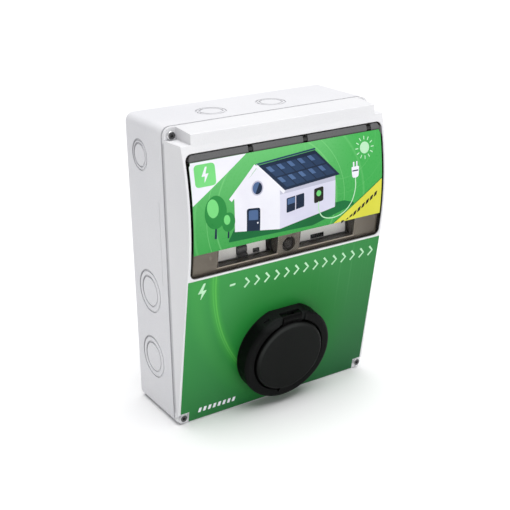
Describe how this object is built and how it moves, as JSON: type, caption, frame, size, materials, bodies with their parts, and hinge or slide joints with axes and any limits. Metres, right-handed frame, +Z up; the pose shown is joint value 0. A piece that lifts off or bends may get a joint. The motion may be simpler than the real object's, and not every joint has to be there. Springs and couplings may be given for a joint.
{
  "type": "ev charging station",
  "caption": "Wall-mounted charging box with an arched hinged window over rail-mounted switchgear and a lidded round socket outlet on its leaning lower face.",
  "frame": {"origin": "centre of the four wall fixing holes, on the back face", "axes": "+X to the right seen from the front, +Y into the wall, +Z up; the front looks to -Y"},
  "size_m": [0.25, 0.1247, 0.327],
  "materials": {
    "base_plastic": "fine-textured light grey moulding",
    "cover_plastic": "fine-textured off-white moulding",
    "screw_steel": "dark nickel plated",
    "smoked_window": "polished smoked transparent plastic",
    "upper_print": "printed film, green with plain fields of colour",
    "lower_print": "printed film, green gradient",
    "gasket_rubber": "grey foam rubber",
    "socket_rubber": "black foam rubber",
    "seal_rubber": "soft rubber",
    "zinc_steel": "zinc plated",
    "spring_steel": "bright spring wire",
    "device_grey": "light grey device housing",
    "controller_grey": "light grey device housing",
    "terminal_grey": "grey nylon",
    "toggle_dark": "dark satin plastic",
    "test_dark": "dark grey plastic",
    "lever_dark": "black plastic",
    "clip_plastic": "black nylon",
    "status_window": "dark tinted window",
    "button_black": "black moulding",
    "button_brown": "dark brown cap",
    "socket_black": "black textured moulding",
    "lid_black": "black satin moulding",
    "carrier_black": "black glass-filled plastic",
    "contact_silver": "silver plated brass",
    "actuator_plastic": "black plastic",
    "pin_steel": "ground steel"
  },
  "bodies": {
    "enclosure": {"back_box": "base_plastic", "cover_gasket": "gasket_rubber", "front_cover": "cover_plastic", "cover_screws": "screw_steel", "flap_hinge_pin": "pin_steel", "front_label": "lower_print", "stop_button_body": "button_black", "stop_button_nut": "button_black", "din_rail_upper": "zinc_steel", "din_rail_lower": "zinc_steel", "rail_screws": "zinc_steel", "rcd_body": "device_grey", "controller_body": "controller_grey", "controller_window": "status_window", "contactor_body": "device_grey", "supply_terminals": "terminal_grey", "terminal_screws": "zinc_steel", "socket_gasket": "socket_rubber", "socket_bezel": "socket_black", "contact_carrier": "carrier_black", "contact_block": "carrier_black", "power_contacts": "contact_silver", "signal_contacts": "contact_silver", "socket_rear_cap": "actuator_plastic", "lid_hinge_pin": "pin_steel", "lid_spring": "spring_steel", "socket_screws": "zinc_steel", "lock_actuator": "actuator_plastic", "actuator_screws": "zinc_steel"},
    "flap": {"window_flap": "smoked_window", "flap_label": "upper_print"},
    "lid": {"socket_lid": "lid_black", "lid_seal": "seal_rubber"},
    "toggle": {"rcd_toggle": "toggle_dark"},
    "test_button": {"rcd_test_button": "test_dark"},
    "stop_button": {"stop_button_cap": "button_brown"},
    "contactor_slider": {"contactor_lever": "lever_dark"},
    "plug_lock": {"lock_pin": "pin_steel"},
    "rcd_clip": {"rcd_din_clip": "clip_plastic"},
    "controller_clip": {"controller_din_clip": "clip_plastic"},
    "contactor_clip": {"contactor_din_clip": "clip_plastic"},
    "terminal_clip": {"terminal_din_clip": "clip_plastic"}
  },
  "joints": [
    {"name": "flap_hinge", "type": "hinge", "parent": "enclosure", "child": "flap", "pos_m": [0, -0.1124, 0.1369], "axis": [-1, 0, 0], "range_deg": [0, 110]},
    {"name": "lid_hinge", "type": "hinge", "parent": "enclosure", "child": "lid", "pos_m": [0, -0.11768, -0.05482], "axis": [-1, 0, 0], "range_deg": [0, 110], "stiffness_Nm_per_rad": 0.04, "springref_deg": -45.84},
    {"name": "toggle_hinge", "type": "hinge", "parent": "enclosure", "child": "toggle", "pos_m": [-0.05, -0.0974, 0.0291], "axis": [-1, 0, 0], "range_deg": [0, 80]},
    {"name": "test_button_slide", "type": "slide", "parent": "enclosure", "child": "test_button", "axis": [0, 1, 0], "range_m": [0, 0.0012], "stiffness_N_per_m": 700, "springref_m": -0.001},
    {"name": "stop_button_slide", "type": "slide", "parent": "enclosure", "child": "stop_button", "axis": [0, 1, 0], "range_m": [0, 0.0018], "stiffness_N_per_m": 900, "springref_m": -0.001},
    {"name": "contactor_slide", "type": "slide", "parent": "enclosure", "child": "contactor_slider", "axis": [0, 0, 1], "range_m": [-0.005, 0.005]},
    {"name": "plug_lock_slide", "type": "slide", "parent": "enclosure", "child": "plug_lock", "axis": [0, 0.1736, -0.9848], "range_m": [0, 0.006]},
    {"name": "rcd_clip_slide", "type": "slide", "parent": "enclosure", "child": "rcd_clip", "axis": [0, 0, -1], "range_m": [0, 0.003], "stiffness_N_per_m": 1200, "springref_m": -0.001},
    {"name": "controller_clip_slide", "type": "slide", "parent": "enclosure", "child": "controller_clip", "axis": [0, 0, -1], "range_m": [0, 0.003], "stiffness_N_per_m": 1200, "springref_m": -0.001},
    {"name": "contactor_clip_slide", "type": "slide", "parent": "enclosure", "child": "contactor_clip", "axis": [0, 0, -1], "range_m": [0, 0.003], "stiffness_N_per_m": 1200, "springref_m": -0.001},
    {"name": "terminal_clip_slide", "type": "slide", "parent": "enclosure", "child": "terminal_clip", "axis": [0, 0, -1], "range_m": [0, 0.003], "stiffness_N_per_m": 1200, "springref_m": -0.001}
  ]
}
